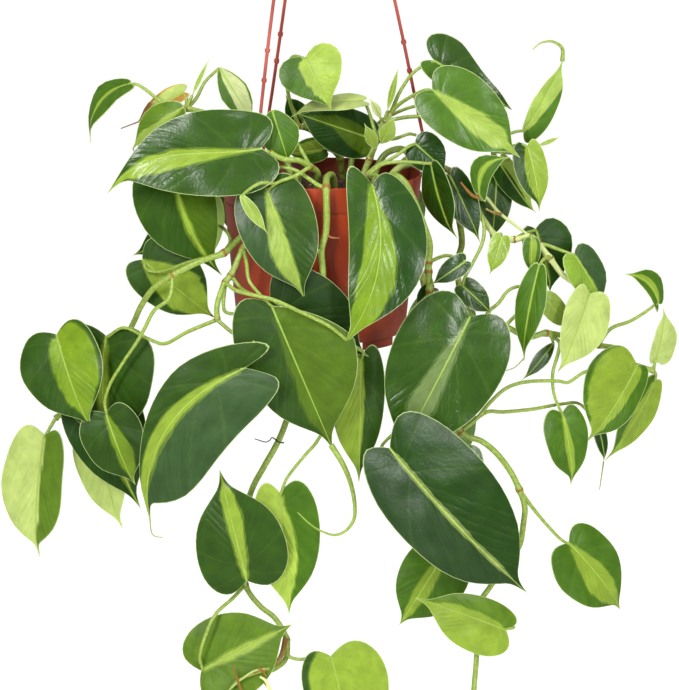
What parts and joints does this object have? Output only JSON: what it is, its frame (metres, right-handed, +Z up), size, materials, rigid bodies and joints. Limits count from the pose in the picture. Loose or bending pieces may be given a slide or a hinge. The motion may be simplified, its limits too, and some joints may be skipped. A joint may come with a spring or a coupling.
{
  "type": "potted hanging plant",
  "caption": "Brasil philodendron with lime and dark green heart-shaped leaves trailing from a thin round nursery pot on a hook hanger.",
  "frame": {"origin": "the point inside the top of the hook's bend, on which the whole plant hangs", "axes": "+Z up along the line of hang, +X to the viewer's right in the front view, the front of the plant on the -Y side"},
  "size_m": [0.5126, 0.2476, 0.8068],
  "materials": {
    "pot": "satin",
    "hanger": "satin",
    "soil": "matte",
    "foliage": "satin"
  },
  "bodies": {
    "root": {"pot": "pot", "soil": "soil", "hanger_hook": "hanger", "hanger_strand_1": "hanger", "hanger_strand_2": "hanger", "hanger_strand_3": "hanger", "vine_front_trailing": "foliage", "vine_left_upper": "foliage", "vine_left_lower": "foliage", "shoot_left_top": "foliage", "shoot_front_left": "foliage", "shoot_front_right": "foliage", "vine_crown_right": "foliage", "vine_right_upper": "foliage", "vine_right_lower": "foliage", "vine_lower_right": "foliage", "shoot_crown_left": "foliage", "vine_back_trailing": "foliage", "vine_back_left": "foliage", "vine_back_right": "foliage", "shoot_back_crown": "foliage"}
  },
  "joints": []
}
